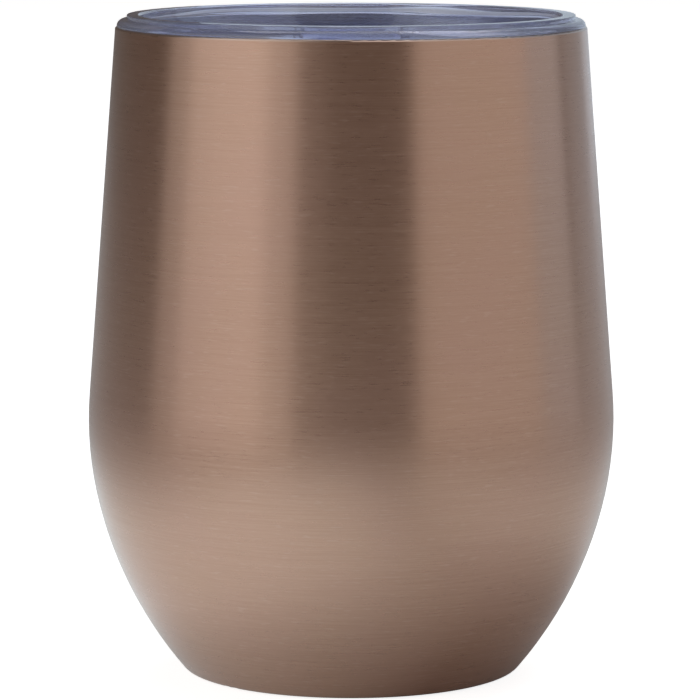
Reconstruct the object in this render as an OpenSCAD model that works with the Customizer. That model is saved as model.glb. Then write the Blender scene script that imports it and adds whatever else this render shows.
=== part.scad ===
// Stemless insulated tumbler: a double-walled, vacuum-insulated steel cup with a
// clear press-in lid and a sliding drink closure.
// Millimetres, +Z up. The origin is the centre of the foot, on the table plane,
// and the drink opening faces -Y.

/* [Steel body] */
// Height of the steel body, from the foot to the lip
body_h = 109; // [106:0.5:111]
// Largest outside diameter
max_d = 89; // [88:0.5:90.5]
// Height of the largest diameter above the foot
belly_z = 42.5; // [41:0.5:43]
// Radius of the arc round the largest diameter
belly_r = 60; // [58:1:63]
// Radius of the arc of the bowl below it
bowl_r = 68; // [67:0.5:72]
// Angle below the belly's centre at which the bowl arc takes over
bowl_from = 12.8; // [10:0.2:16]
// Taper of the upper wall, from vertical
taper = 4.4; // [4:0.1:4.8]
// Rounding of the outer edge of the foot
foot_round = 1.75; // [1.4:0.05:1.9]
// Thickness of the sheet steel
sheet = 0.5; // [0.45:0.05:0.55]

/* [Vacuum space] */
// Clear gap between the two steel walls
vacuum_gap = 3; // [2.8:0.1:3.2]
// Height of the drinking space's floor above the foot
floor_z = 8; // [7.5:0.5:10]
// Corner radius inside the drinking space
floor_corner = 12; // [11:0.5:13]
// Height of the weld between the liner's wall and its bottom
liner_seam_z = 22; // [21:0.5:25]

/* [Mouth] */
// Width of the lip, from the mouth's bore to the outer wall
lip_w = 1.26; // [1.2:0.02:1.3]
// Depth of the mouth's cylinder below the lip
mouth_depth = 11; // [10:0.5:12]
// Height of the welded land at the lip
lip_land = 2.5; // [2:0.5:3]
// Rounding of the lip's edges
lip_round = 0.35; // [0.25:0.05:0.4]

/* [Base] */
// Radius of the opening inside the foot ring
foot_bore_r = 24; // [22:0.5:24.5]
// Height of the recess in the foot
recess_h = 2.1; // [1.8:0.1:2.6]
// Distance from the foot's plane up to the base cover
cover_inset = 0.8; // [0.5:0.1:1]

/* [Lid] */
// Width of the lid's flange over the lip, outside the mouth's bore
flange_over = 1; // [0.8:0.05:1.1]
// Height of the lid above the lip
lid_rise = 2; // [1.6:0.1:2.5]
// Distance of the raised ring on the flange inside the mouth's bore
ring_inset = 0.7; // [0.5:0.1:1.2]
// Clearance between the plug and the mouth's bore, which the seal fills
plug_gap = 1; // [0.8:0.1:1.2]
// Depth of the plug below the lip
plug_depth = 8.8; // [8.4:0.2:9.6]
// Depth of the dish below the top of the ring
dish_depth = 6; // [5.5:0.1:6.5]
// Distance of the edge of the dish's floor inside the mouth's bore
dish_inset = 4.1; // [3.9:0.1:4.5]
// Thickness of the dish's floor
dish_floor_t = 1.6; // [1.4:0.1:1.8]

/* [Slider] */
// Width of the slider
slider_w = 16; // [15:0.5:18]
// Travel of the slider from closed to open
slider_travel = 12; // [10:0.5:13]
// Width of the drink opening
drink_w = 13; // [11:0.5:13.5]

/* [Hidden] */
$fn = 128;
eps = 0.01;
far = 200;                            // beyond everything, for cutting shapes
cut = 2;                              // how far a cutting shape sticks out

copper_lacquer = [0.62, 0.43, 0.34];
bare_steel = [0.72, 0.72, 0.73];
clear_plastic = [0.72, 0.75, 0.86, 0.5];
silicone = [0.9, 0.92, 0.94, 0.7];

// The body's outline is a straight tapered wall, the belly arc, the bowl arc and a corner,
// each tangent to the next. A surface inset from it keeps the same arc centres. The wall and
// the bowl are set in by a hair, so that neighbours cross at a point instead of just touching.
hair = 0.002;
reach = 3;                            // how far the belly's shape goes on past its two ends

belly_c = [max_d / 2 - belly_r, belly_z];
bowl_c = belly_c + (belly_r - bowl_r) * [cos(bowl_from), -sin(bowl_from)];

// Point on the belly arc at an angle above its centre, for a surface inset by i
function belly_point(i, angle) = belly_c + (belly_r - i) * [cos(angle), sin(angle)];
// Radius of the tapered wall at height z
function wall_r(i, z) =
    let (start = belly_point(i + hair, taper)) start[0] - (z - start[1]) * tan(taper);
// Centre of a corner of radius r, tangent to the bowl arc and to a floor at height z
function corner_c(i, z, r) =
    [bowl_c[0] + sqrt(pow(bowl_r - i - r, 2) - pow(bowl_c[1] - z - r, 2)), z + r];
// Height at which that corner meets the bowl arc
function corner_end_z(i, z, r) =
    let (d = corner_c(i, z, r) - bowl_c) bowl_c[1] + (bowl_r - i) * d[1] / norm(d);

// The part of a circle between two heights, on the outer side of the axis
module arc_strip(centre, r, from_x, z0, z1)
    intersection() {
        translate(centre) circle(r);
        translate([from_x, z0]) square([far, z1 - z0]);
    }

// Half section inside the body's outline inset by i, from a floor at z up to the height top
module outline(i, z, corner, top) {
    wall_z = belly_point(i, taper)[1];
    bowl_z = belly_point(i, -bowl_from)[1];
    corner_z = corner_end_z(i, z, corner);
    centre = corner_c(i, z, corner);
    polygon([[0, wall_z], [wall_r(i, wall_z), wall_z], [wall_r(i, top), top], [0, top]]);
    arc_strip(belly_c, belly_r - i, 0, bowl_z - reach, wall_z + reach);
    arc_strip(bowl_c, bowl_r - i - hair, 0, corner_z, bowl_z);
    translate(centre) circle(corner);
    translate([0, z]) square([centre[0], corner]);
}

// Ring of rectangular section
module ring(r_in, r_out, z0, z1)
    translate([r_in, z0]) square([r_out - r_in, z1 - z0]);

// ---- Steel body ----

mouth_r = wall_r(0, body_h) - lip_w;  // bore of the mouth, where the lid's seal runs
liner_out = sheet + vacuum_gap;       // inset of the liner's vacuum side
liner_in = liner_out + sheet;         // inset of the drinking space
step_z = body_h - mouth_depth;        // top of the ledge under the mouth
step_low_z = step_z - (mouth_r - wall_r(liner_in, step_z));

module outer_shell()
    color(copper_lacquer) rotate_extrude() difference() {
        outline(0, 0, foot_round, body_h);
        outline(sheet, sheet, foot_round - sheet, body_h + cut);
        ring(0, foot_bore_r, -cut, cut);
        lip_outer_cut();
    }

// What rounding takes off the lip's outer edge, tangent to the tapered wall
module lip_outer_cut() {
    centre = [wall_r(lip_round, body_h - lip_round), body_h - lip_round];
    difference() {
        translate([centre[0], centre[1] + lip_round * sin(taper)]) square(cut);
        translate(centre) circle(lip_round);
    }
}

// What rounding takes off the lip's inner edge
module lip_inner_cut() {
    centre = [mouth_r + lip_round, body_h - lip_round];
    difference() {
        translate([centre[0] - cut, centre[1]]) square(cut);
        translate(centre) circle(lip_round);
    }
}

// The drinking space with the mouth and its ledge, grown by the sheet for its vacuum side
module liner_space(i, grow, z, corner) {
    ledge_shift = grow * tan(45 / 2);     // the ledge slopes at 45 degrees
    ledge_z = step_low_z - ledge_shift;
    outline(i, z, corner, ledge_z);
    polygon([
        [0, ledge_z], [wall_r(i, ledge_z), ledge_z],
        [mouth_r + grow, step_z - ledge_shift], [mouth_r + grow, body_h + cut], [0, body_h + cut]
    ]);
}

land_root = 1;                        // overlap of the land with the mouth's wall, below it

module liner_section()
    difference() {
        union() {
            intersection() {
                liner_space(liner_out, sheet, floor_z - sheet, floor_corner + sheet);
                square([far, body_h]);
            }
            // The flared land that is welded to the outer shell
            polygon([
                [mouth_r, body_h - lip_land - land_root],
                [mouth_r + sheet, body_h - lip_land - land_root],
                [wall_r(sheet, body_h - lip_land), body_h - lip_land],
                [wall_r(sheet, body_h), body_h], [mouth_r, body_h]
            ]);
        }
        liner_space(liner_in, 0, floor_z, floor_corner);
        lip_inner_cut();
    }

module liner_wall()
    color(bare_steel) rotate_extrude() intersection() {
        liner_section();
        translate([0, liner_seam_z]) square([far, far]);
    }

module liner_bottom()
    color(bare_steel) rotate_extrude() intersection() {
        liner_section();
        square([far, liner_seam_z]);
    }

foil_t = 0.1;
foil_off = 0.1;                       // gap between the foil and the liner
foil_margin = 2;                      // bare height of the liner above and below the foil

module copper_foil()
    color([0.8, 0.5, 0.3]) rotate_extrude() intersection() {
        difference() {
            outline(liner_out - foil_off - foil_t, floor_z, floor_corner, step_low_z - foil_margin);
            outline(liner_out - foil_off, floor_z, floor_corner, step_low_z);
        }
        translate([0, liner_seam_z + foil_margin]) square([far, far]);
    }

// ---- Base ----

web_z = recess_h;                     // underside of the outer bottom's web
dimple_r = 5;
dimple_h = 1.2;
evacuation_r = 0.9;
bottom_flange_r = foot_bore_r + 2.2;
seal_recess = 0.2;                    // height of the solder glass above the web's underside
cover_gap = 0.3;                      // clearance round the base cover

module outer_bottom()
    color(bare_steel) rotate_extrude() difference() {
        union() {
            ring(foot_bore_r - sheet, bottom_flange_r, sheet, sheet * 2);
            ring(foot_bore_r - sheet, foot_bore_r, sheet, web_z + sheet);
            ring(0, foot_bore_r, web_z, web_z + sheet);
            ring(0, dimple_r, web_z, web_z + dimple_h + sheet);
        }
        ring(0, dimple_r - sheet, web_z - cut, web_z + dimple_h);
        ring(0, evacuation_r, 0, web_z + dimple_h + cut);
    }

module vacuum_seal()
    color([0.25, 0.3, 0.28]) rotate_extrude() {
        ring(0, dimple_r - sheet, web_z + seal_recess, web_z + dimple_h);
        ring(0, evacuation_r, web_z + seal_recess, web_z + dimple_h + sheet);
    }

module base_cover()
    color(bare_steel) rotate_extrude() {
        cover_r = foot_bore_r - sheet - cover_gap;
        ring(0, cover_r, cover_inset, cover_inset + sheet);
        ring(cover_r - sheet, cover_r, cover_inset, web_z);
    }

getter_x = 14;
getter_r = 3.8;
getter_h = 1.5;
holder_wall = 0.4;
holder_h = 2;

module getter_holder()
    color(bare_steel) translate([getter_x, 0, web_z + sheet]) difference() {
        cylinder(r = getter_r + holder_wall, h = holder_h);
        translate([0, 0, holder_wall]) cylinder(r = getter_r, h = holder_h);
    }

module getter()
    color([0.35, 0.35, 0.37])
        translate([getter_x, 0, web_z + sheet + holder_wall]) cylinder(r = getter_r, h = getter_h);

// ---- Lid ----

lid_top = body_h + lid_rise;
dish_z = lid_top - dish_depth;        // top of the dish's floor
under_z = dish_z - dish_floor_t;      // underside of the floor
plug_z = body_h - plug_depth;         // bottom of the plug
flange_r = mouth_r + flange_over;
flange_t = 1.25;                      // height of the flange outside the raised ring
ring_r = mouth_r - ring_inset;
dish_floor_r = mouth_r - dish_inset;
ring_in_r = dish_floor_r + 1.2;       // inner edge of the raised ring, at the top
plug_r = mouth_r - plug_gap;
plug_chamfer = 0.6;
skirt_in_r = plug_r - 2.4;
groove_r = plug_r - 1.2;              // floor of the seal's groove
groove_z = plug_z + 1.2;
groove_h = 3.8;
edge_round = 0.6;

module lid_section()
    difference() {
        union() {
            // Flange with a quarter-round outer edge
            arc_strip([flange_r - flange_t, body_h], flange_t, flange_r - flange_t, body_h, lid_top);
            ring(0, flange_r - flange_t, body_h, body_h + flange_t);
            // Raised ring with a rounded outer edge
            ring(0, ring_r - edge_round, body_h, lid_top);
            arc_strip([ring_r - edge_round, lid_top - edge_round], edge_round,
                ring_r - edge_round, lid_top - edge_round, lid_top);
            ring(0, plug_r, plug_z, body_h);
        }
        // Dish with a sloping wall
        polygon([
            [0, dish_z], [dish_floor_r, dish_z], [ring_in_r, lid_top - edge_round],
            [ring_in_r, lid_top + cut], [0, lid_top + cut]
        ]);
        dish_lip_cut();
        // Hollow under the floor, open at the bottom
        ring(0, skirt_in_r, plug_z - cut, under_z);
        // Groove for the seal
        ring(groove_r, plug_r + cut, groove_z, groove_z + groove_h);
        // Lead-in chamfer of the plug
        polygon([
            [plug_r - plug_chamfer, plug_z - eps], [plug_r + eps, plug_z - eps],
            [plug_r + eps, plug_z + plug_chamfer]
        ]);
    }

// Rounds the inner top edge of the raised ring
module dish_lip_cut()
    difference() {
        translate([ring_in_r - eps, lid_top - edge_round]) square([edge_round + eps, edge_round * 2]);
        translate([ring_in_r + edge_round, lid_top - edge_round]) circle(edge_round);
    }

slide_gap = 0.1;                      // running clearance of the slider
slider_front_y = -33.2;
slider_back_y = 11;
drink_y = [-31.6, -25.4];             // the drink opening, front to back
drink_round = 2.5;
vent_y = 28;
vent_r = 1.2;
stem_l = 7;
stem_w = 5;
stem_y = -8;                          // the stem's centre with the slider closed
stem_gap = 0.2;                       // clearance of the stem in its slot
rail_w = 1.2;
rail_h = 1.2;
rail_y = [-24, 22];                   // the guide rails, front to back
rail_gap = 0.15;                      // clearance between a rail and the slider

// Rectangle with rounded corners, centred across X, from y0 to y1
module rounded_slab(w, y0, y1, r, z0, h)
    translate([0, 0, z0]) linear_extrude(h) union() {
        translate([-w / 2 + r, y0]) square([w - 2 * r, y1 - y0]);
        translate([-w / 2, y0 + r]) square([w, y1 - y0 - 2 * r]);
        for (x = [-w / 2 + r, w / 2 - r], y = [y0 + r, y1 - r])
            translate([x, y]) circle(r);
    }

module lid_body()
    color(clear_plastic) difference() {
        union() {
            rotate_extrude() lid_section();
            // Guide rails beside the slider
            for (side = [-1, 1])
                translate([side * (slider_w / 2 + rail_gap + rail_w / 2), rail_y[0], dish_z - eps])
                    translate([-rail_w / 2, 0, 0]) cube([rail_w, rail_y[1] - rail_y[0], rail_h + eps]);
        }
        rounded_slab(drink_w, drink_y[0], drink_y[1], drink_round, under_z - cut, dish_floor_t + 2 * cut);
        rounded_slab(stem_w + 2 * stem_gap, stem_y - stem_l / 2 - stem_gap,
            stem_y + stem_l / 2 + slider_travel + stem_gap, 1, under_z - cut, dish_floor_t + 2 * cut);
        translate([0, vent_y, under_z - cut]) cylinder(r = vent_r, h = dish_floor_t + 2 * cut);
    }

seal_fit = 0.04;                      // clearance of the seal in its groove
seal_reach_r = mouth_r - 0.08;        // the fins just meet the mouth's wall
seal_r = plug_r + 0.05;               // the seal's own wall, between the fins
fin_z = [0.5, 2.4];                   // the two fins, above the bottom of the groove
fin_h = 0.8;                          // height of a fin at its root
fin_rise = 0.35;                      // how far a fin turns up on its way out
fin_tip = 0.3;

module lid_gasket()
    color(silicone) rotate_extrude() union() {
        ring(groove_r + seal_fit, seal_r, groove_z + seal_fit, groove_z + groove_h - seal_fit);
        for (from = fin_z)
            translate([0, groove_z + from]) polygon([
                [plug_r, 0], [seal_r, 0], [seal_reach_r, fin_rise],
                [seal_reach_r, fin_rise + fin_tip], [seal_r, fin_h], [plug_r, fin_h]
            ]);
    }

slider_z = dish_z + slide_gap;
slider_t = 1.6;
slider_corner = 3;
grip_y = -6;
grip_w = 12;
grip_l = 3.2;
grip_h = 2.4;
grip_round = 1.4;
rib_w = 9;                            // low ribs in front of and behind the grip
rib_l = 1.2;
rib_h = 0.6;
rib_off = 4.4;
keeper_w = 11;
keeper_l = 12;
keeper_t = 1.2;
keeper_z = under_z - slide_gap - keeper_t;
peg_w = 3;
peg_l = 4;
small_round = 0.5;

module slider()
    color(clear_plastic) union() {
        intersection() {
            rounded_slab(slider_w, slider_front_y, slider_back_y, slider_corner, slider_z, slider_t);
            translate([0, 0, slider_z - cut]) cylinder(r = -slider_front_y, h = slider_t + 2 * cut);
        }
        slab_on_slider(grip_w, grip_y, grip_l, grip_round, grip_h);
        for (side = [-1, 1])
            slab_on_slider(rib_w, grip_y + side * rib_off, rib_l, small_round, rib_h);
        rounded_slab(stem_w, stem_y - stem_l / 2, stem_y + stem_l / 2, 0.8,
            under_z - slide_gap, slider_z - under_z + slide_gap);
        rounded_slab(peg_w, stem_y - peg_l / 2, stem_y + peg_l / 2, small_round, keeper_z, keeper_t);
    }

// Raised slab of length l on the slider's top, centred at y
module slab_on_slider(w, y, l, r, h)
    rounded_slab(w, y - l / 2, y + l / 2, r, slider_z + slider_t, h);

module slider_keeper()
    color(clear_plastic) difference() {
        rounded_slab(keeper_w, stem_y - keeper_l / 2, stem_y + keeper_l / 2, 2, keeper_z, keeper_t);
        rounded_slab(peg_w, stem_y - peg_l / 2, stem_y + peg_l / 2, small_round,
            keeper_z - cut, keeper_t + 2 * cut);
    }

outer_shell();
outer_bottom();
base_cover();
vacuum_seal();
getter_holder();
getter();
copper_foil();
liner_wall();
liner_bottom();
lid_body();
lid_gasket();
slider();
slider_keeper();
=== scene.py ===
"""Looks of the stemless insulated tumbler: a brushed copper cup with a clear lid."""
import math

import bmesh
import bpy
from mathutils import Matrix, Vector


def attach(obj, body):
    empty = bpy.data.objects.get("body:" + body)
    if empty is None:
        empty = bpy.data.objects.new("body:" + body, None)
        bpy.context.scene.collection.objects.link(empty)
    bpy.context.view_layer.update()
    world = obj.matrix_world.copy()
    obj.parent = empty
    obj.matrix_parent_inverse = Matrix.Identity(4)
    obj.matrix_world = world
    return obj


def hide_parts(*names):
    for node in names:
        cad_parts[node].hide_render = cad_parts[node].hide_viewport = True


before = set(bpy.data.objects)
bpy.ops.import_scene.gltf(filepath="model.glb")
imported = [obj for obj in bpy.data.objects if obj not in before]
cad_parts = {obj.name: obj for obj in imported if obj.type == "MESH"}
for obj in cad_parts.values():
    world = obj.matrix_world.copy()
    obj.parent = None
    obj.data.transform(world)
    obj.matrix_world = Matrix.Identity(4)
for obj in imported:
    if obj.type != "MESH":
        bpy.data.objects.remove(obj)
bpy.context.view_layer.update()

MM = 0.001


# ---- Mesh helpers: shapes are given in millimetres ----

def fillet(before, corner, after, radius, steps):
    """Points of an arc of that radius, tangent to both sides of an outline's corner."""
    a, b, c = Vector(before), Vector(corner), Vector(after)
    to_a, to_c = (a - b).normalized(), (c - b).normalized()
    half = to_a.angle(to_c) / 2
    centre = b + (to_a + to_c).normalized() * (radius / math.sin(half))
    start = b + to_a * (radius / math.tan(half)) - centre
    end = b + to_c * (radius / math.tan(half)) - centre
    turn = start.angle(end)
    points = []
    for step in range(steps + 1):
        t = step / steps
        along = start * math.sin((1 - t) * turn) + end * math.sin(t * turn)
        points.append(tuple(centre + along / math.sin(turn)))
    return points


def rounded(corners, steps=6):
    """Closed outline with each corner (x, y, radius) rounded; a radius of 0 leaves it sharp."""
    points = []
    for i, (x, y, radius) in enumerate(corners):
        if radius == 0:
            points.append((x, y))
        else:
            before, after = corners[i - 1], corners[(i + 1) % len(corners)]
            points += fillet(before[:2], (x, y), after[:2], radius, steps)
    return points


def turned(profile, segments=256):
    """Shape of a closed (radius, height) outline turned round Z. A radius of 0 is on the axis."""
    shape = bmesh.new()
    circle = [(math.cos(turn), math.sin(turn))
              for turn in (2 * math.pi * i / segments for i in range(segments))]
    rings = []
    for radius, height in profile:
        if radius == 0:
            rings.append([shape.verts.new((0, 0, height))] * segments)
        else:
            rings.append([shape.verts.new((radius * x, radius * y, height)) for x, y in circle])
    for low, high in zip(rings, rings[1:] + rings[:1]):
        for i in range(segments):
            j = (i + 1) % segments
            corners = list(dict.fromkeys((low[i], low[j], high[j], high[i])))
            if len(corners) > 2:
                shape.faces.new(corners)
    return shape


CORNER_STEPS = 6                      # faces in a slab's corner
END_STEPS = 14                        # faces along its front and its back
SMALLEST_CORNER = 0.05


def slab_outline(width, span, corner, inset, limit):
    """Rounded rectangle centred across X, set in by inset and kept inside the radius limit.
    Its front and back edges are divided evenly, so that they can follow that radius."""
    x = width / 2 - inset
    y0, y1 = span[0] + inset, span[1] - inset
    corner = max(corner - inset, SMALLEST_CORNER)
    corners = [(-x, y0, corner), (x, y0, corner), (x, y1, corner), (-x, y1, corner)]
    points = rounded(corners, CORNER_STEPS)
    first_corner_end, third_corner_end = CORNER_STEPS, 3 * CORNER_STEPS + 2
    outline = []
    for i, (px, py) in enumerate(points):
        outline.append((px, py))
        if i in (first_corner_end, third_corner_end):
            step = (points[i + 1][0] - px) / END_STEPS
            outline += [(px + step * k, py) for k in range(1, END_STEPS)]
    if limit is None:
        return outline
    reach = limit - inset
    return [(px, math.copysign(min(abs(py), math.sqrt(reach ** 2 - px ** 2)), py))
            for px, py in outline]


def slab(width, span, corner, z0, z1, low_edge, high_edge, limit=None, steps=4):
    """Rounded slab from z0 to z1, span is its front and back. Its lower and upper edges are
    rounded by low_edge and high_edge, or flared outwards where these are negative."""
    turns = [math.pi / 2 * i / steps for i in range(steps + 1)]
    layers = [(z0 + abs(low_edge) * (1 - math.cos(a)), low_edge * (1 - math.sin(a))) for a in turns]
    layers += [(z1 - abs(high_edge) * (1 - math.cos(a)), high_edge * (1 - math.sin(a)))
               for a in reversed(turns)]
    shape = bmesh.new()
    rings = []
    for height, inset in layers:
        outline = slab_outline(width, span, corner, inset, limit)
        rings.append([shape.verts.new((x, y, height)) for x, y in outline])
    for low, high in zip(rings, rings[1:]):
        for i in range(len(low)):
            j = (i + 1) % len(low)
            shape.faces.new((low[i], low[j], high[j], high[i]))
    shape.faces.new(rings[0][::-1])
    shape.faces.new(rings[-1])
    return shape


def moved(shape, x=0, y=0):
    """The shape, moved across X and Y."""
    bmesh.ops.translate(shape, verts=shape.verts, vec=(x, y, 0))
    return shape


SAME_POINT = 0.0005


def solid_object(shape, name):
    """Temporary object, in millimetres, of a closed shape."""
    bmesh.ops.remove_doubles(shape, verts=shape.verts, dist=SAME_POINT)
    bmesh.ops.recalc_face_normals(shape, faces=shape.faces)
    mesh = bpy.data.meshes.new(name)
    shape.to_mesh(mesh)
    shape.free()
    solid = bpy.data.objects.new(name, mesh)
    bpy.context.collection.objects.link(solid)
    return solid


def joined(base, *tools):
    """Mesh of a shape after a row of (operation, shape) booleans."""
    solid = solid_object(base, "base")
    others = []
    for operation, tool in tools:
        others.append(solid_object(tool, "tool"))
        modifier = solid.modifiers.new("boolean", "BOOLEAN")
        modifier.operation = operation
        modifier.solver = "EXACT"
        modifier.object = others[-1]
    bpy.context.view_layer.update()
    graph = bpy.context.evaluated_depsgraph_get()
    mesh = bpy.data.meshes.new_from_object(solid.evaluated_get(graph))
    for other in [solid] + others:
        bpy.data.objects.remove(other)
    return mesh


SHARP = math.radians(32)              # edges that turn further than this stay sharp
SHORTEST_EDGE = 1e-7


def add_piece(name, mesh, material, body, node):
    """Shows a mesh in millimetres in place of a CAD node, with smooth shading between its edges."""
    shape = bmesh.new()
    shape.from_mesh(mesh)
    bmesh.ops.scale(shape, vec=(MM, MM, MM), verts=shape.verts)
    bmesh.ops.dissolve_degenerate(shape, edges=shape.edges, dist=SHORTEST_EDGE)
    for face in shape.faces:
        face.smooth = True
    for edge in shape.edges:
        edge.smooth = len(edge.link_faces) == 2 and edge.calc_face_angle(0) < SHARP
    shape.to_mesh(mesh)
    shape.free()
    mesh.name = name
    mesh.materials.clear()
    mesh.materials.append(material)
    piece = bpy.data.objects.new(name, mesh)
    bpy.context.collection.objects.link(piece)
    weighting = piece.modifiers.new("flat faces keep their normals", "WEIGHTED_NORMAL")
    weighting.keep_sharp = True
    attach(piece, body)
    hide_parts(node)
    return piece


# ---- Node helpers ----

QUARTER_TURN = 0.25


class Nodes:
    """A material's node tree, with short calls for adding and linking nodes."""

    def __init__(self, name):
        self.material = bpy.data.materials.new(name)
        self.material.use_nodes = True
        self.tree = self.material.node_tree
        self.tree.nodes.clear()
        self.output = self.add("ShaderNodeOutputMaterial")

    def add(self, kind, **settings):
        """A new node. Keyword names are the node's own settings."""
        node = self.tree.nodes.new(kind)
        for name, value in settings.items():
            setattr(node, name, value)
        return node

    def link(self, source, target):
        self.tree.links.new(source, target)

    def put(self, socket, value):
        """Sets a socket to a plain value, or links an output to it."""
        if isinstance(value, bpy.types.NodeSocket):
            self.link(value, socket)
        elif isinstance(value, (int, float)):
            socket.default_value = value
        else:
            socket.default_value = tuple(value) + (1,) * (len(socket.default_value) - len(value))

    def position(self, size=(1, 1, 1)):
        """Object coordinates in millimetres, divided by the size of the detail along each axis."""
        coords = self.add("ShaderNodeTexCoord")
        mapping = self.add("ShaderNodeMapping")
        mapping.inputs["Scale"].default_value = [1 / (MM * s) for s in size]
        self.link(coords.outputs["Object"], mapping.inputs["Vector"])
        return mapping.outputs["Vector"]

    def height(self):
        """Height above the foot, in millimetres."""
        split = self.add("ShaderNodeSeparateXYZ")
        self.link(self.position(), split.inputs["Vector"])
        return split.outputs["Z"]

    def distance(self, centre_x=0):
        """Distance in millimetres from an upright line at X = centre_x; 0 is the object's axis."""
        flat = self.add("ShaderNodeVectorMath", operation="MULTIPLY_ADD")
        self.link(self.position(), flat.inputs[0])
        flat.inputs[1].default_value = (1, 1, 0)
        flat.inputs[2].default_value = (-centre_x, 0, 0)
        length = self.add("ShaderNodeVectorMath", operation="LENGTH")
        self.link(flat.outputs["Vector"], length.inputs[0])
        return length.outputs["Value"]

    def noise(self, size, detail=2, roughness=0.5, seed=0):
        """Noise from 0 to 1 whose cells are size millimetres along X, Y and Z. The seed is a
        number or an output."""
        node = self.add("ShaderNodeTexNoise", noise_dimensions="4D")
        self.link(self.position(size), node.inputs["Vector"])
        self.put(node.inputs["W"], seed)
        node.inputs["Scale"].default_value = 1
        node.inputs["Detail"].default_value = detail
        node.inputs["Roughness"].default_value = roughness
        return node.outputs["Fac"]

    def grooves(self, length, width, detail=3, roughness=0.6, seed=0):
        """Streaks that run round the axis, on walls and on flat faces alike."""
        ring = self.math("ADD", self.math("DIVIDE", self.distance(), width), seed)
        return self.noise((length, length, width), detail, roughness, ring)

    def scale(self, value, low, high, at_low=0.0, at_high=1.0):
        """Maps the range low..high to at_low..at_high."""
        node = self.add("ShaderNodeMapRange")
        self.link(value, node.inputs["Value"])
        for name, number in zip(("From Min", "From Max", "To Min", "To Max"),
                                (low, high, at_low, at_high)):
            node.inputs[name].default_value = number
        return node.outputs["Result"]

    def math(self, operation, a, b=0):
        node = self.add("ShaderNodeMath", operation=operation)
        self.put(node.inputs[0], a)
        self.put(node.inputs[1], b)
        return node.outputs[0]

    def mix(self, factor, a, b):
        """Colour that goes from a to b as the factor goes from 0 to 1."""
        node = self.add("ShaderNodeMix", data_type="RGBA")
        self.put(node.inputs["Factor"], factor)
        sockets = {socket.identifier: socket for socket in [*node.inputs, *node.outputs]}
        self.put(sockets["A_Color"], a)
        self.put(sockets["B_Color"], b)
        return sockets["Result_Color"]

    def bump(self, height, depth, normal=None):
        """Bump whose height 0..1 stands for depth millimetres, on top of another normal."""
        node = self.add("ShaderNodeBump")
        node.inputs["Distance"].default_value = depth * MM
        node.inputs["Strength"].default_value = 1
        self.link(height, node.inputs["Height"])
        if normal:
            self.link(normal, node.inputs["Normal"])
        return node.outputs["Normal"]

    def shader(self, **values):
        """The Principled shader. Keyword names are socket names with _ for a space."""
        node = self.add("ShaderNodeBsdfPrincipled")
        for name, value in values.items():
            self.put(node.inputs[name.replace("_", " ")], value)
        self.link(node.outputs["BSDF"], self.output.inputs["Surface"])
        return node

    def brush_round(self, shader):
        """Turns the shader's highlight across grooves that run round the Z axis."""
        tangent = self.add("ShaderNodeTangent", direction_type="RADIAL", axis="Z")
        self.link(tangent.outputs["Tangent"], shader.inputs["Tangent"])
        shader.inputs["Anisotropic Rotation"].default_value = QUARTER_TURN


# ---- Materials: sizes of detail are in millimetres ----

LIP_Z = 109
LINER_SEAM_Z = 22

# Parts of a noise's range, which is densest round 0.5
BROAD = (0.3, 0.7)
MIDDLE = (0.35, 0.65)

COPPER_DARK = (0.525, 0.30, 0.205)
COPPER_LIGHT = (0.60, 0.365, 0.26)
COPPER_CLOUD = (0.57, 0.33, 0.25)
# Painted glints on the raised dashes, and painted shade in the sunk dashes
COPPER_PAINTED_GLINT = (0.72, 0.50, 0.40)
COPPER_NICK_SHADE = (0.40, 0.24, 0.17)
# Painted highlight on the lip's rounded edge: its colour, and how far below the lip it starts and
# is full
LIP_HIGHLIGHT = (0.72, 0.60, 0.53)
HIGHLIGHT_START, HIGHLIGHT_FULL = 0.42, 0.12    # distances below the lip
BRUSH_DEPTH = 0.006

SATIN_STEEL = (0.62, 0.62, 0.63)
POLISHED_STEEL = (0.66, 0.66, 0.66)
DULLED = 0.84                         # brightness of the steel's dull streaks
HEAT_TINT = (0.55, 0.46, 0.33)
WELD_BEAD = (0.36, 0.35, 0.34)
WELD_EDGE = (0.55, 0.25)              # distances from the seam where its bead begins and is full
HEAT_REACH = (2.2, 0.5)
BEAD_HEIGHT = 6                       # in depths of the brushing

PLASTIC_DEEP = (0.66, 0.69, 0.93)
PLASTIC_PALE = (0.78, 0.80, 0.96)


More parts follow.
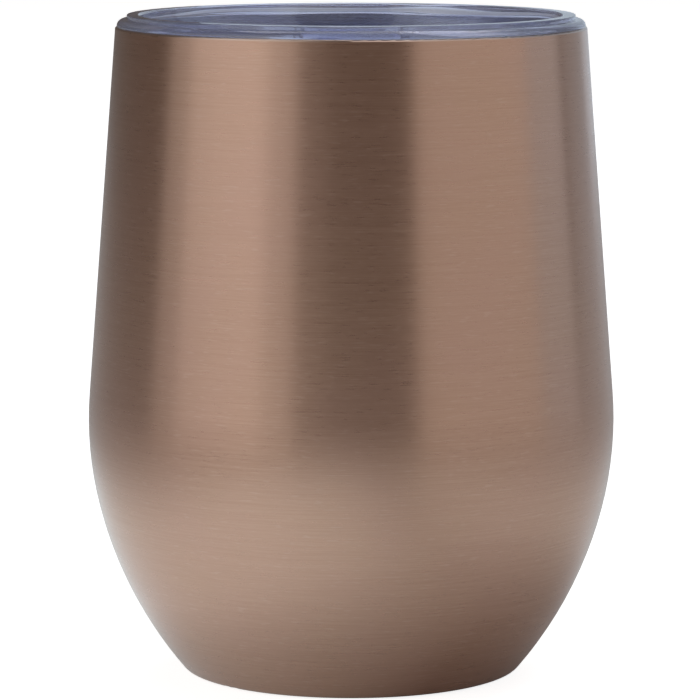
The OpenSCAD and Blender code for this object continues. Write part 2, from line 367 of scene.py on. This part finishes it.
def brushed_copper():
    """Copper-tinted lacquer on a wall that is brushed round the axis."""
    nodes = Nodes("copper_lacquer")
    streaks = nodes.grooves(length=11, width=0.16)
    bands = nodes.grooves(length=45, width=0.9, detail=2, seed=11)
    dashes = nodes.noise((2.1, 2.1, 0.26), detail=0, seed=3)
    clouds = nodes.noise((17, 17, 24), detail=2, seed=7)
    tone = nodes.mix(nodes.scale(streaks, *BROAD), COPPER_DARK, COPPER_LIGHT)
    tone = nodes.mix(nodes.scale(clouds, *MIDDLE, 0, 0.5), tone, COPPER_CLOUD)
    # Painted light: raised dashes are painted paler as glints, and sunk dashes darker as shade
    tone = nodes.mix(nodes.scale(dashes, 0.66, 0.76, 0, 0.2), tone, COPPER_PAINTED_GLINT)
    tone = nodes.mix(nodes.scale(dashes, 0.32, 0.23, 0, 0.12), tone, COPPER_NICK_SHADE)
    # Painted highlight: the lip's rounded edge is painted paler, in patches, where it would catch
    # the light
    edge_highlight = nodes.scale(nodes.height(), LIP_Z - HIGHLIGHT_START, LIP_Z - HIGHLIGHT_FULL)
    patchy_highlight = nodes.math("MULTIPLY", edge_highlight, nodes.scale(clouds, 0.3, 0.6, 0.35, 1))
    tone = nodes.mix(patchy_highlight, tone, LIP_HIGHLIGHT)
    raised, sunk = nodes.scale(dashes, 0.62, 0.75), nodes.scale(dashes, 0.38, 0.25)
    nicks = nodes.math("SUBTRACT", raised, sunk)
    relief = nodes.math("MULTIPLY", streaks, 0.45)
    for layer, weight in ((nicks, 0.12), (bands, 0.3)):
        relief = nodes.math("ADD", relief, nodes.math("MULTIPLY", layer, weight))
    shader = nodes.shader(
        Base_Color=tone,
        Metallic=1.0,
        Roughness=nodes.scale(relief, 0.25, 0.5, 0.27, 0.34),
        Anisotropic=0.75,
        Coat_Weight=0.5,
        Coat_Roughness=0.24,
        Coat_IOR=1.8,
        Normal=nodes.bump(relief, BRUSH_DEPTH),
    )
    nodes.brush_round(shader)
    return nodes.material


def steel(name, colour, groove, roughness, welds=()):
    """Bare steel with grooves round the axis. Welds are heights with a straw-coloured seam."""
    nodes = Nodes(name)
    streaks = nodes.grooves(length=12, width=groove, seed=1)
    clouds = nodes.noise((15, 15, 15), detail=2, seed=5)
    dull = tuple(c * DULLED for c in colour)
    tone = nodes.mix(nodes.scale(streaks, *BROAD), dull, colour)
    tone = nodes.mix(nodes.scale(clouds, *MIDDLE, 0, 0.5), tone, dull)
    relief = streaks
    for weld in welds:
        off = nodes.math("ABSOLUTE", nodes.math("SUBTRACT", nodes.height(), weld))
        seam = nodes.scale(off, *WELD_EDGE)
        tone = nodes.mix(nodes.scale(off, *HEAT_REACH, 0, 0.35), tone, HEAT_TINT)
        tone = nodes.mix(nodes.math("MULTIPLY", seam, 0.5), tone, WELD_BEAD)
        beads = nodes.math("ADD", nodes.noise((0.7, 0.7, 0.7), detail=1, seed=9), BEAD_HEIGHT)
        relief = nodes.math("ADD", relief, nodes.math("MULTIPLY", seam, beads))
    shader = nodes.shader(
        Base_Color=tone,
        Metallic=1.0,
        Roughness=nodes.scale(streaks, *BROAD, roughness - 0.05, roughness + 0.05),
        Anisotropic=0.6,
        Normal=nodes.bump(relief, BRUSH_DEPTH),
    )
    nodes.brush_round(shader)
    return nodes.material


def clear_plastic():
    """Moulded clear plastic: faint flow ripples, fine scratches, and a violet-blue body tint."""
    nodes = Nodes("clear_plastic")
    ripples = nodes.noise((19, 19, 2.2), detail=0, seed=2)
    scratches = nodes.noise((5, 0.12, 5), detail=2, roughness=0.7, seed=4)
    rubbed = nodes.noise((9, 9, 9), detail=3, seed=6)
    fine, patches = nodes.scale(scratches, 0.62, 0.72), nodes.scale(rubbed, 0.4, 0.65)
    scratch_height = nodes.math("MULTIPLY", fine, patches)
    nodes.shader(
        Base_Color=nodes.mix(nodes.scale(ripples, *MIDDLE), PLASTIC_DEEP, PLASTIC_PALE),
        Roughness=nodes.scale(rubbed, *BROAD, 0.02, 0.07),
        IOR=1.57,
        Transmission_Weight=0.9,
        Normal=nodes.bump(scratch_height, 0.002, nodes.bump(ripples, 0.85)),
    )
    return nodes.material


def silicone():
    """Milky rubber with a little dust on it."""
    nodes = Nodes("silicone")
    grain = nodes.noise((0.5, 0.5, 0.5), detail=2, seed=1)
    dust = nodes.noise((5, 5, 2), detail=3, roughness=0.65, seed=2)
    nodes.shader(
        Base_Color=nodes.mix(nodes.scale(dust, 0.4, 0.7), (0.78, 0.81, 0.83), (0.70, 0.72, 0.73)),
        Roughness=nodes.scale(dust, *BROAD, 0.38, 0.52),
        IOR=1.41,
        Subsurface_Weight=0.6,
        Subsurface_Radius=(2 * MM, 2 * MM, 2 * MM),
        Normal=nodes.bump(grain, 0.01),
    )
    return nodes.material


def foil():
    """Bright copper foil, creased where it was wrapped."""
    nodes = Nodes("copper_foil")
    creases = nodes.noise((4, 4, 9), detail=4, roughness=0.65, seed=1)
    stains = nodes.noise((12, 12, 12), detail=3, seed=2)
    tone = nodes.mix(nodes.scale(stains, 0.4, 0.65), (0.80, 0.47, 0.32), (0.62, 0.33, 0.22))
    nodes.shader(
        Base_Color=tone,
        Metallic=1.0,
        Roughness=nodes.scale(stains, *BROAD, 0.18, 0.3),
        Normal=nodes.bump(creases, 0.4),
    )
    return nodes.material


def getter_alloy():
    """Sintered metal: dark, grainy and matt."""
    nodes = Nodes("getter_alloy")
    grains = nodes.noise((0.25, 0.25, 0.25), detail=3, roughness=0.7, seed=1)
    nodes.shader(
        Base_Color=nodes.mix(nodes.scale(grains, *MIDDLE), (0.13, 0.13, 0.14), (0.30, 0.30, 0.31)),
        Metallic=0.8,
        Roughness=nodes.scale(grains, *BROAD, 0.5, 0.75),
        Normal=nodes.bump(grains, 0.05),
    )
    return nodes.material


def seal_glass():
    """Fused solder glass: dark green-grey, glossy, with small bubbles."""
    nodes = Nodes("seal_glass")
    flow = nodes.noise((1.8, 1.8, 1.8), detail=2, seed=1)
    bubbles = nodes.noise((0.3, 0.3, 0.3), detail=1, seed=2)
    nodes.shader(
        Base_Color=nodes.mix(nodes.scale(flow, *MIDDLE), (0.05, 0.07, 0.06), (0.10, 0.13, 0.11)),
        Roughness=nodes.scale(flow, *BROAD, 0.12, 0.25),
        IOR=1.6,
        Normal=nodes.bump(nodes.scale(bubbles, 0.6, 0.75), 0.04),
    )
    return nodes.material


def assign(material, *names):
    """Gives CAD nodes a material in place of their plain one."""
    for name in names:
        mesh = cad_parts[name].data
        mesh.materials.clear()
        mesh.materials.append(material)


satin = steel("steel", SATIN_STEEL, groove=0.22, roughness=0.32)
polished = steel("liner_steel", POLISHED_STEEL, groove=0.25, roughness=0.27, welds=[LINER_SEAM_Z])
assign(brushed_copper(), "outer_shell")
assign(satin, "outer_bottom", "base_cover", "getter_holder")
assign(polished, "liner_wall", "liner_bottom")
assign(foil(), "copper_foil")
assign(getter_alloy(), "getter")
assign(seal_glass(), "vacuum_seal")


# ---- Lid ----

MOUTH_R = 38.3
LID_TOP = 111.0
FLANGE_R = 39.3
FLANGE_TOP = 110.25
RING_R = 37.6
RING_IN_R = 35.4
DISH_Z = 105.0                        # top of the dish's floor
DISH_FLOOR_R = 34.2
UNDER_Z = 103.4                       # underside of the floor
PLUG_R = 37.3
PLUG_Z = 100.2
PLUG_CHAMFER = 0.6
SKIRT_IN_R = 34.9
GROOVE_R = 36.1
GROOVE_LOW, GROOVE_HIGH = 101.4, 105.2
MOULD_EDGE = 0.08                     # rounding of edges that are sharp to the eye

SLIDE_GAP = 0.1
SLIDER_W = 16
SLIDER_T = 1.6
SLIDER_TRAVEL = 12
SLIDER_FRONT_R = 33.2                 # the front end follows this radius
SLIDER_BACK_Y = 11
RAIL_GAP = 0.15
RAIL_W = 1.2
RAIL_H = 1.2
RAIL_SPAN = (-24, 22)
DRINK_W = 13
DRINK_SPAN = (-31.6, -25.4)
VENT_R = 1.2
VENT_Y = 28
VENT_FLARE = 0.3

STEM_W = 5
STEM_Y = -8
STEM_REACH = 3.5                      # half of the stem's length along Y
STEM_SLOT_GAP = 0.2
PEG_W = 3
PEG_REACH = 2
PEG_GAP = 0.01
KEEPER_W = 11
KEEPER_REACH = 6
KEEPER_T = 1.2

GRIP_W = 11.2
GRIP_Y = -6
GRIP_REACH = 1.4
GRIP_H = 2.4
RIB_W = 9
RIB_APART = 4.4                       # from the grip's middle to a rib's middle
RIB_REACH = 0.6
RIB_H = 0.6

SEAL_GAP = 0.04
SEAL_BULGE = 0.05
SEAL_CLEARANCE = 0.08
FIN_RISES = (0.5, 2.4)                # above the groove's lower side
FIN_TIP = (0.35, 0.65)                # the tip's lower and upper edge, above the fin's root
FIN_ROOT_T = 0.8

SUNK = 0.3                            # how far a joined shape reaches into its neighbour
PAST = 0.2                            # how far a cutting shape reaches past a face

SLIDER_Z = DISH_Z + SLIDE_GAP
SLIDER_TOP = SLIDER_Z + SLIDER_T
KEEPER_TOP = UNDER_Z - SLIDE_GAP


def along(middle, reach):
    """Front and back of something that reaches as far each way from its middle."""
    return middle - reach, middle + reach


def lid_outline():
    """The lid's section: a flange on the lip, a raised ring, a dish, and the plug's groove."""
    return rounded([
        (0, UNDER_Z, 0),
        (SKIRT_IN_R, UNDER_Z, 0.8),
        (SKIRT_IN_R, PLUG_Z, 0.4),
        (PLUG_R - PLUG_CHAMFER, PLUG_Z, 0.15),
        (PLUG_R, PLUG_Z + PLUG_CHAMFER, 0.25),
        (PLUG_R, GROOVE_LOW, MOULD_EDGE),
        (GROOVE_R, GROOVE_LOW, MOULD_EDGE),
        (GROOVE_R, GROOVE_HIGH, MOULD_EDGE),
        (PLUG_R, GROOVE_HIGH, MOULD_EDGE),
        (PLUG_R, LIP_Z, 0.15),
        (FLANGE_R, LIP_Z, MOULD_EDGE),
        (FLANGE_R, FLANGE_TOP, 1.1),
        (RING_R, FLANGE_TOP, 0.1),
        (RING_R, LID_TOP, 0.12),
        (RING_IN_R, LID_TOP, 0.5),
        (DISH_FLOOR_R, DISH_Z, 1.0),
        (0, DISH_Z, 0),
    ])


def rail_shape(side):
    """One of the two rails that guide the slider; side is -1 or 1."""
    bottom, top = DISH_Z - SUNK, DISH_Z + RAIL_H
    rail = slab(RAIL_W, RAIL_SPAN, 0.5, bottom, top, low_edge=0.1, high_edge=0.3)
    return moved(rail, x=side * (SLIDER_W / 2 + RAIL_GAP + RAIL_W / 2))


def vent_shape():
    """The hole that lets air in behind the drink, flared at both ends."""
    return moved(turned(rounded([
        (0, UNDER_Z - PAST, 0),
        (VENT_R + VENT_FLARE, UNDER_Z - PAST, 0),
        (VENT_R, UNDER_Z + VENT_FLARE - PAST, 0),
        (VENT_R, DISH_Z - PAST, 0),
        (VENT_R + VENT_FLARE, DISH_Z + VENT_FLARE - PAST, 0),
        (0, DISH_Z + VENT_FLARE - PAST, 0),
    ]), segments=48), y=VENT_Y)


def lid_shape():
    """The clear lid, with its rails, drink opening, stem slot and vent."""
    through = (UNDER_Z - PAST, DISH_Z + PAST)
    drink_hole = slab(DRINK_W, DRINK_SPAN, 2.5, *through, low_edge=-0.35, high_edge=-0.45)
    slot_front, slot_back = along(STEM_Y, STEM_REACH + STEM_SLOT_GAP)
    slot_span = (slot_front, slot_back + SLIDER_TRAVEL)
    slot_w = STEM_W + 2 * STEM_SLOT_GAP
    stem_slot = slab(slot_w, slot_span, 1, *through, low_edge=-0.3, high_edge=-0.3)
    return joined(
        turned(lid_outline()),
        ("UNION", rail_shape(-1)),
        ("UNION", rail_shape(1)),
        ("DIFFERENCE", drink_hole),
        ("DIFFERENCE", stem_slot),
        ("DIFFERENCE", vent_shape()),
    )


def gasket_shape():
    """The silicone ring in the plug's groove, with two fins that turn up at their tips."""
    inner, outer, tip = GROOVE_R + SEAL_GAP, PLUG_R + SEAL_BULGE, MOUTH_R - SEAL_CLEARANCE
    low, high = GROOVE_LOW + SEAL_GAP, GROOVE_HIGH - SEAL_GAP
    corners = [(inner, low, 0.15), (outer, low, 0.15)]
    for rise in FIN_RISES:
        root = GROOVE_LOW + rise
        corners += [
            (outer, root, MOULD_EDGE),
            (tip, root + FIN_TIP[0], MOULD_EDGE),
            (tip, root + FIN_TIP[1], 0.1),
            (outer, root + FIN_ROOT_T, MOULD_EDGE),
        ]
    corners += [(outer, high, 0.15), (inner, high, 0.15)]
    return joined(turned(rounded(corners, steps=4)))


def slider_shape():
    """The sliding closure: a plate with a grip and two ribs, and a stem through the lid."""
    plate_span = (-SLIDER_FRONT_R, SLIDER_BACK_Y)
    plate = slab(SLIDER_W, plate_span, 3, SLIDER_Z, SLIDER_TOP,
                 low_edge=0.2, high_edge=0.35, limit=SLIDER_FRONT_R)
    foot = SLIDER_TOP - 0.1
    grip = slab(GRIP_W, along(GRIP_Y, GRIP_REACH), 1.2, foot, SLIDER_TOP + GRIP_H,
                low_edge=-0.2, high_edge=0.5)
    ribs = [slab(RIB_W, along(GRIP_Y + side * RIB_APART, RIB_REACH), 0.5, foot,
                 SLIDER_TOP + RIB_H, low_edge=0.05, high_edge=0.3) for side in (-1, 1)]
    stem = slab(STEM_W, along(STEM_Y, STEM_REACH), 0.8, KEEPER_TOP, SLIDER_Z + SUNK,
                low_edge=0.1, high_edge=0.05)
    peg = slab(PEG_W - 2 * PEG_GAP, along(STEM_Y, PEG_REACH - PEG_GAP), 0.5,
               KEEPER_TOP - KEEPER_T, KEEPER_TOP + SUNK, low_edge=0.1, high_edge=0.05)
    return joined(plate, *(("UNION", part) for part in (grip, *ribs, stem, peg)))


def keeper_shape():
    """The plate that snaps on the stem's peg, under the lid."""
    bottom = KEEPER_TOP - KEEPER_T
    plate = slab(KEEPER_W, along(STEM_Y, KEEPER_REACH), 2, bottom, KEEPER_TOP,
                 low_edge=0.3, high_edge=0.15)
    hole = slab(PEG_W, along(STEM_Y, PEG_REACH), 0.5, bottom - 0.1, KEEPER_TOP + 0.1,
                low_edge=-0.12, high_edge=-0.12)
    return joined(plate, ("DIFFERENCE", hole))


plastic = clear_plastic()
for name, mesh, body, node in (
    ("lid_moulding", lid_shape(), "lid", "lid_body"),
    ("slider_moulding", slider_shape(), "slider", "slider"),
    ("slider_keeper_plate", keeper_shape(), "slider", "slider_keeper"),
):
    piece = add_piece(name, mesh, plastic, body, node)
    piece.visible_shadow = False      # clear plastic lets the lamps' light through
add_piece("lid_seal_ring", gasket_shape(), silicone(), "lid", "lid_gasket")


# ---- Stage, light and camera ----

WHITE = (1, 1, 1)
NEUTRAL = (0.95, 1.01, 1.03)
WARM = (0.98, 1.01, 1.0)
COOL = (0.80, 0.98, 1.15)

FLOOR_SIZE = 12
FLOOR_Z = -0.0002                     # just under the foot
FLOOR_COLOUR = (0.65, 0.65, 0.65)
FLOOR_WHITE = 0.85                    # what the paper adds of its own to the camera's view
# The light table's brightness at X, in millimetres
FLOOR_GLOW = (
    (-170, 0.2), (-90, 0.62), (-30, 0.58), (0, 0.48), (40, 0.26), (100, 0.36), (170, 0.2),
)
FLOOR_TINT = (0.81, 0.98, 1.05)
# What shades it: the middle's X, the radii where the shade ends, and what is left on either side
FOOT_SHADE = (23, 28, 72, 0.0, 1.0)
TABLE_EDGE = (0, 150, 290, 1.0, 0.08)
# The lit disc under the foot, which shows the base from below: radii of its edge, brightness
UNDER_FOOT = (21, 24, 0.3)

WORLD_WHITE = 1.0
WORLD_LIGHT = 0.09
WORLD_TINT = (1.12, 0.92, 0.80)

SOFTBOX_HEIGHT = 1.5
SOFTBOX_DISTANCE = 1.3
# Azimuth, spread, brightness and tint of the upright softboxes
SOFTBOXES = (
    (-88, 14, 0.42, NEUTRAL), (-74, 14, 0.8, NEUTRAL), (-60, 14, 0.88, NEUTRAL),
    (-46, 14, 0.92, NEUTRAL), (-32, 14, 0.6, NEUTRAL), (-18, 14, 0.1, NEUTRAL),
    (60, 62, 0.54, WARM), (104, 26, 0.5, COOL), (134, 26, 0.25, COOL), (165, 36, 0.5, COOL),
)
TOP_LIGHT_PLACE = (0.2, 0.6, 2.4)
TOP_LIGHT_SIZE = (2.5, 2.5)
TOP_LIGHT = 1.0

CAMERA_DISTANCE = 0.700
CAMERA_HEIGHT = 0.1484
CAMERA_PITCH = 7.67                   # degrees below the horizon
CAMERA_ASIDE = -0.0002
CAMERA_LENS = 214.3
CAMERA_SENSOR = 36


def table_glow(nodes):
    """Brightness of the light table: a graph over X, shaded near the foot and far away."""
    split = nodes.add("ShaderNodeSeparateXYZ")
    nodes.link(nodes.position(), split.inputs["Vector"])
    glow = FLOOR_GLOW[0][1]
    for (x0, glow0), (x1, glow1) in zip(FLOOR_GLOW, FLOOR_GLOW[1:]):
        glow = nodes.math("ADD", glow, nodes.scale(split.outputs["X"], x0, x1, 0, glow1 - glow0))
    for centre_x, near, far, at_near, at_far in (FOOT_SHADE, TABLE_EDGE):
        shade = nodes.scale(nodes.distance(centre_x), near, far, at_near, at_far)
        glow = nodes.math("MULTIPLY", glow, shade)
    inner, outer, brightness = UNDER_FOOT
    return nodes.math("MAXIMUM", glow, nodes.scale(nodes.distance(), inner, outer, brightness, 0))


def add_floor():
    """Paper on a light table that is brighter on the left, as the cup's underside shows it.
    To the camera it is white all over, and from below it can't be seen."""
    bpy.ops.mesh.primitive_plane_add(size=FLOOR_SIZE, location=(0, 0, FLOOR_Z))
    floor = bpy.context.object
    floor.name = "floor"
    nodes = Nodes("floor_paper")
    glow = table_glow(nodes)
    to_camera = nodes.add("ShaderNodeLightPath").outputs["Is Camera Ray"]
    white = nodes.math("MULTIPLY", to_camera, FLOOR_WHITE)
    paper = nodes.shader(
        Base_Color=FLOOR_COLOUR,
        Roughness=0.9,
        Emission_Color=nodes.mix(to_camera, FLOOR_TINT, WHITE),
        Emission_Strength=nodes.math("MAXIMUM", glow, white),
    )
    one_sided = nodes.add("ShaderNodeMixShader")
    nodes.link(nodes.add("ShaderNodeNewGeometry").outputs["Backfacing"], one_sided.inputs[0])
    nodes.link(paper.outputs["BSDF"], one_sided.inputs[1])
    nodes.link(nodes.add("ShaderNodeBsdfTransparent").outputs["BSDF"], one_sided.inputs[2])
    nodes.link(one_sided.outputs["Shader"], nodes.output.inputs["Surface"])
    floor.data.materials.append(nodes.material)


def add_world():
    """Dim room light, with a white wall behind everything in the camera's view."""
    world = bpy.data.worlds.new("studio")
    world.use_nodes = True
    tree = world.node_tree
    tree.nodes.clear()
    path = tree.nodes.new("ShaderNodeLightPath")
    either = tree.nodes.new("ShaderNodeMixShader")
    output = tree.nodes.new("ShaderNodeOutputWorld")
    tree.links.new(path.outputs["Is Camera Ray"], either.inputs[0])
    for slot, colour, strength in ((1, WORLD_TINT, WORLD_LIGHT), (2, WHITE, WORLD_WHITE)):
        background = tree.nodes.new("ShaderNodeBackground")
        background.inputs["Color"].default_value = (*colour, 1)
        background.inputs["Strength"].default_value = strength
        tree.links.new(background.outputs["Background"], either.inputs[slot])
    tree.links.new(either.outputs["Shader"], output.inputs["Surface"])
    bpy.context.scene.world = world


def add_area_light(name, location, target, size, brightness, colour=WHITE):
    """Rectangular light whose own surface has a brightness of 1 where it looks white."""
    light = bpy.data.lights.new(name, "AREA")
    light.shape = "RECTANGLE"
    light.size, light.size_y = size
    light.energy = brightness * math.pi * size[0] * size[1]
    light.color = colour
    lamp = bpy.data.objects.new(name, light)
    lamp.location = location
    lamp.rotation_mode = "QUATERNION"
    lamp.rotation_quaternion = (Vector(target) - Vector(location)).to_track_quat("-Z", "Y")
    lamp.visible_camera = False
    bpy.context.collection.objects.link(lamp)


def add_softbox(name, azimuth, spread, brightness, colour):
    """Upright light, spread degrees wide as the tumbler sees it, at an azimuth round it:
    0 is the camera's side and 90 is the right."""
    turn = math.radians(azimuth)
    middle = SOFTBOX_HEIGHT / 2
    location = (SOFTBOX_DISTANCE * math.sin(turn), -SOFTBOX_DISTANCE * math.cos(turn), middle)
    width = 2 * SOFTBOX_DISTANCE * math.tan(math.radians(spread / 2))
    add_area_light(name, location, (0, 0, middle), (width, SOFTBOX_HEIGHT), brightness, colour)


def add_camera():
    data = bpy.data.cameras.new("camera")
    data.lens = CAMERA_LENS
    data.sensor_width = CAMERA_SENSOR
    data.clip_start = 0.01
    camera = bpy.data.objects.new("camera", data)
    camera.location = (CAMERA_ASIDE, -CAMERA_DISTANCE, CAMERA_HEIGHT)
    camera.rotation_euler = (math.radians(90 - CAMERA_PITCH), 0, 0)
    bpy.context.collection.objects.link(camera)
    bpy.context.scene.camera = camera


add_camera()
add_floor()
add_world()
for number, (azimuth, spread, brightness, tint) in enumerate(SOFTBOXES):
    add_softbox(f"softbox_{number}", azimuth, spread, brightness, tint)
add_area_light("softbox_top", TOP_LIGHT_PLACE, (0, 0, 0), TOP_LIGHT_SIZE, TOP_LIGHT)
bpy.context.scene.view_settings.view_transform = "Standard"
